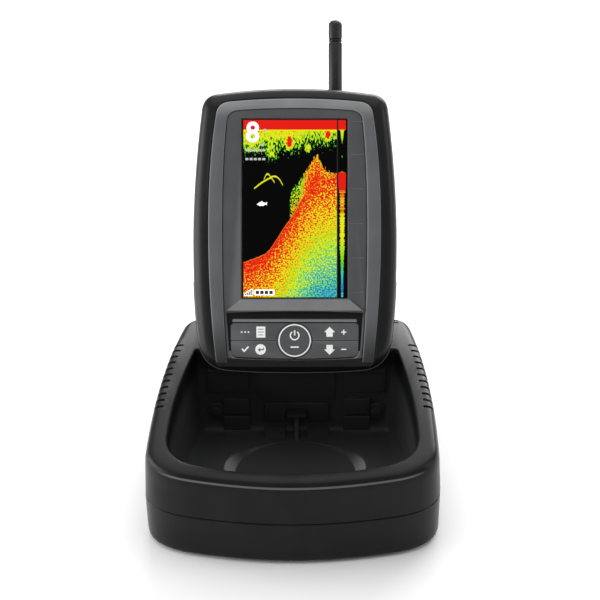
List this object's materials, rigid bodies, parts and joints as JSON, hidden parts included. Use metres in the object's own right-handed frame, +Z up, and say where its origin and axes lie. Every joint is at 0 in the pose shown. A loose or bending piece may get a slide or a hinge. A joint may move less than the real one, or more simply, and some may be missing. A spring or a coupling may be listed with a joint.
{
  "type": "fish finder display on docking base",
  "caption": "Portable sonar display with five keys and a folding aerial, tilting on a yoke above a deep open docking base.",
  "frame": {"origin": "middle of the whole object's outline, on the surface that its rubber feet stand on", "axes": "+Z up, -Y towards the user, +X to the user's right"},
  "size_m": [0.1684, 0.2324, 0.2371],
  "materials": {
    "base_plastic": "fine textured satin, black",
    "case_plastic": "satin, charcoal black",
    "trim_plastic": "satin painted grey",
    "fascia_plastic": "satin dark grey",
    "key_rubber": "matt dark grey with pale printed symbols",
    "black_rubber": "matt black",
    "screen_cover": "clear, polished",
    "screen_module": "backlit colour display, lit",
    "circuit_board": "green solder resist",
    "cell_wrap": "shrink wrapped, blue",
    "screw_steel": "zinc plated",
    "connector_brass": "gold flashed"
  },
  "bodies": {
    "base": {"base_upper_shell": "base_plastic", "base_lower_shell": "base_plastic", "foot_1": "black_rubber", "foot_2": "black_rubber", "foot_3": "black_rubber", "foot_4": "black_rubber", "base_screw_1": "screw_steel", "base_screw_2": "screw_steel", "base_screw_3": "screw_steel", "base_screw_4": "screw_steel", "tilt_bracket": "base_plastic", "bracket_screw_1": "screw_steel", "bracket_screw_2": "screw_steel", "bracket_screw_3": "screw_steel", "bracket_screw_4": "screw_steel"},
    "knob_right": {"tilt_knob_right": "black_rubber"},
    "knob_left": {"tilt_knob_left": "black_rubber"},
    "display": {"front_bezel": "case_plastic", "trim_frame": "trim_plastic", "fascia": "fascia_plastic", "screen_glass": "screen_cover", "lcd_module": "screen_module", "keypad_mat": "black_rubber", "main_board": "circuit_board", "buzzer": "black_rubber", "case_gasket": "black_rubber", "rear_case": "case_plastic", "battery_pack": "cell_wrap", "battery_door": "case_plastic", "door_screw_1": "screw_steel", "door_screw_2": "screw_steel", "case_screw_1": "screw_steel", "case_screw_2": "screw_steel", "case_screw_3": "screw_steel", "case_screw_4": "screw_steel", "pivot_lug": "case_plastic", "lug_screw_1": "screw_steel", "lug_screw_2": "screw_steel", "lug_screw_3": "screw_steel", "lug_screw_4": "screw_steel", "charge_socket": "connector_brass", "aerial_jack": "connector_brass"},
    "menu_key": {"key_menu": "key_rubber"},
    "enter_key": {"key_enter": "key_rubber"},
    "power_key": {"key_power": "key_rubber"},
    "up_key": {"key_up": "key_rubber"},
    "down_key": {"key_down": "key_rubber"},
    "aerial_foot": {"aerial_swivel": "black_rubber", "aerial_pin": "screw_steel"},
    "aerial_rod": {"aerial_whip": "black_rubber", "aerial_tip": "black_rubber"},
    "socket_cover": {"charge_cover": "black_rubber"}
  },
  "joints": [
    {"name": "display_tilt", "type": "hinge", "parent": "base", "child": "display", "pos_m": [0, 0.03797, 0.08497], "axis": [-1, 0, 0], "range_deg": [-3, 25]},
    {"name": "knob_right_turn", "type": "hinge", "parent": "base", "child": "knob_right", "pos_m": [0, 0.03797, 0.08497], "axis": [1, 0, 0], "range_deg": [0, 360]},
    {"name": "knob_left_turn", "type": "hinge", "parent": "base", "child": "knob_left", "pos_m": [0, 0.03797, 0.08497], "axis": [-1, 0, 0], "range_deg": [0, 360]},
    {"name": "menu_press", "type": "slide", "parent": "display", "child": "menu_key", "axis": [0, 0.866, -0.5], "range_m": [0, 0.0008], "stiffness_N_per_m": 1500},
    {"name": "enter_press", "type": "slide", "parent": "display", "child": "enter_key", "axis": [0, 0.866, -0.5], "range_m": [0, 0.0008], "stiffness_N_per_m": 1500},
    {"name": "power_press", "type": "slide", "parent": "display", "child": "power_key", "axis": [0, 0.866, -0.5], "range_m": [0, 0.0008], "stiffness_N_per_m": 1500},
    {"name": "up_press", "type": "slide", "parent": "display", "child": "up_key", "axis": [0, 0.866, -0.5], "range_m": [0, 0.0008], "stiffness_N_per_m": 1500},
    {"name": "down_press", "type": "slide", "parent": "display", "child": "down_key", "axis": [0, 0.866, -0.5], "range_m": [0, 0.0008], "stiffness_N_per_m": 1500},
    {"name": "aerial_swivel_turn", "type": "hinge", "parent": "display", "child": "aerial_foot", "pos_m": [0.024, 0.07431, 0.16791], "axis": [0, 0.5, 0.866], "range_deg": [-90, 90]},
    {"name": "aerial_fold", "type": "hinge", "parent": "aerial_foot", "child": "aerial_rod", "pos_m": [0.024, 0.07981, 0.17744], "axis": [-1, 0, 0], "range_deg": [0, 90]},
    {"name": "socket_cover_open", "type": "hinge", "parent": "display", "child": "socket_cover", "pos_m": [-0.0412, 0.05857, 0.15044], "axis": [0, 0.5, 0.866], "range_deg": [0, 75], "stiffness_Nm_per_rad": 0.002}
  ]
}
